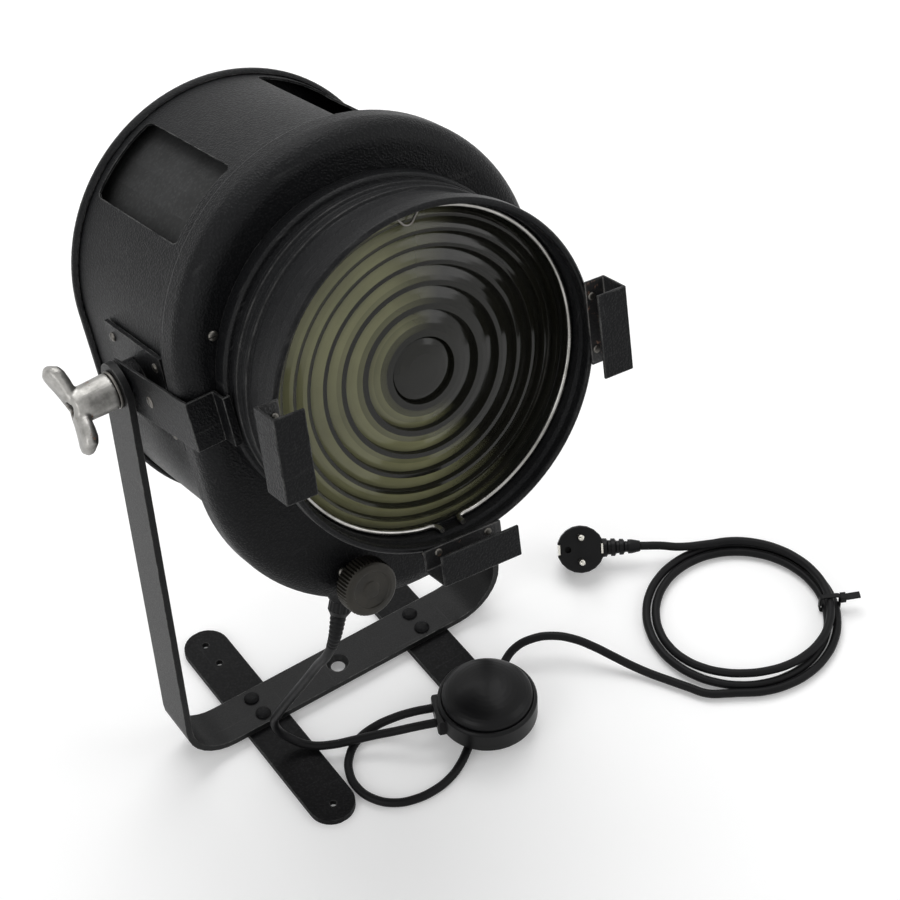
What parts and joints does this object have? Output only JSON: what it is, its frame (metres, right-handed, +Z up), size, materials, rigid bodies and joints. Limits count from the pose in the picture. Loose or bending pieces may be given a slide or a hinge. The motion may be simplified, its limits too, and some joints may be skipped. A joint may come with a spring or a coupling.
{
  "type": "theatre spotlight",
  "caption": "Black stepped-lens stage lamp with a ribbed round barrel, tilting in a flat-bar yoke on a cross foot, with a corded foot switch and plug.",
  "frame": {"origin": "bottom centre of the lamp and its stand without the free cord and what is on it", "axes": "+Z up, +X along the tilt axis away from the wing knob, -Y the side that the lens faces"},
  "size_m": [0.5365, 0.349, 0.542],
  "materials": {
    "black_crackle": "crackle black paint on sheet steel, worn at the edges",
    "cast_black": "crackle black paint on a casting",
    "worn_steel": "thin dark paint worn through to grey steel",
    "cast_alloy": "bare casting, dull and scratched",
    "spring_steel": "bright drawn wire",
    "plated_steel": "dull plating with spots of rust",
    "turned_brass": "knurled, dull brown",
    "lens_glass": "clear pressed glass with a faint green tint",
    "lamp_glass": "clear blown glass",
    "mirror_metal": "polished",
    "ceramic": "glazed ceramic",
    "inner_sheet": "dull heat-stained sheet",
    "cord_rubber": "satin black flexible cord",
    "switch_plastic": "moulded black, satin",
    "contact_metal": "nickel-plated brass"
  },
  "bodies": {
    "stand": {"yoke": "worn_steel", "foot_strip_left": "black_crackle", "foot_strip_right": "black_crackle", "foot_bolt_1": "plated_steel", "foot_bolt_2": "plated_steel", "foot_bolt_3": "plated_steel", "foot_bolt_4": "plated_steel", "washer_left": "plated_steel", "washer_right": "plated_steel", "cord_to_lamp": "cord_rubber", "switch_base": "switch_plastic", "cord_to_coil": "cord_rubber", "cord_coil": "cord_rubber", "cable_tie": "switch_plastic", "cord_to_plug": "cord_rubber", "plug_body": "switch_plastic", "plug_earth_1": "contact_metal", "plug_earth_2": "contact_metal", "plug_pin_1": "contact_metal", "plug_pin_2": "contact_metal"},
    "tilt_knob": {"tilt_knob": "cast_alloy"},
    "housing": {"housing_shell": "black_crackle", "rear_cover": "black_crackle", "front_plate": "black_crackle", "light_baffle": "inner_sheet", "pivot_plate_left": "black_crackle", "pivot_plate_right": "black_crackle", "pivot_spacer_left": "black_crackle", "pivot_spacer_right": "black_crackle", "pivot_stud_left": "plated_steel", "pivot_stud_right": "plated_steel", "catch_strap_left": "black_crackle", "catch_strap_right": "black_crackle", "inner_washer_left": "black_crackle", "inner_washer_right": "black_crackle", "pivot_nut": "plated_steel", "slide_rail_left": "plated_steel", "slide_rail_right": "plated_steel", "cord_gland": "switch_plastic"},
    "barrel": {"lens_barrel": "cast_black", "fresnel_lens": "lens_glass", "lens_wire_ring": "spring_steel", "lens_clip": "plated_steel", "frame_channel_left": "black_crackle", "frame_channel_right": "black_crackle", "frame_channel_bottom": "black_crackle"},
    "focus_screw": {"focus_knob": "turned_brass", "focus_spindle": "plated_steel"},
    "carriage": {"lamp_carriage": "inner_sheet", "lampholder": "ceramic", "bulb": "lamp_glass", "mirror": "mirror_metal", "mirror_post": "inner_sheet"},
    "switch_cap": {"switch_cap": "switch_plastic"}
  },
  "joints": [
    {"name": "tilt", "type": "hinge", "parent": "stand", "child": "housing", "pos_m": [0.0115, 0.05069, 0.377], "axis": [-1, 0, 0], "range_deg": [-107, 45], "deforming": ["cord_to_lamp"]},
    {"name": "tilt_knob_turn", "type": "hinge", "parent": "stand", "child": "tilt_knob", "pos_m": [0.0115, 0.05069, 0.377], "axis": [-1, 0, 0], "range_deg": [0, 360]},
    {"name": "barrel_turn", "type": "hinge", "parent": "housing", "child": "barrel", "pos_m": [0.0115, 0.05274, 0.38369], "axis": [0, -0.9563, 0.2924], "continuous": true},
    {"name": "focus_turn", "type": "hinge", "parent": "housing", "child": "focus_screw", "pos_m": [-0.0405, 0.00801, 0.23738], "axis": [0, -0.9563, 0.2924], "range_deg": [-540, 1980]},
    {"name": "focus_slide", "type": "slide", "parent": "housing", "child": "carriage", "axis": [0, -0.9563, 0.2924], "range_m": [-0.012, 0.044]},
    {"name": "switch_press", "type": "slide", "parent": "stand", "child": "switch_cap", "axis": [0, 0, -1], "range_m": [0, 0.003], "stiffness_N_per_m": 800, "springref_m": -0.002}
  ],
  "couplings": [
    {"joint": "focus_turn", "follows": "focus_slide", "rad_per_m": 785.4}
  ]
}
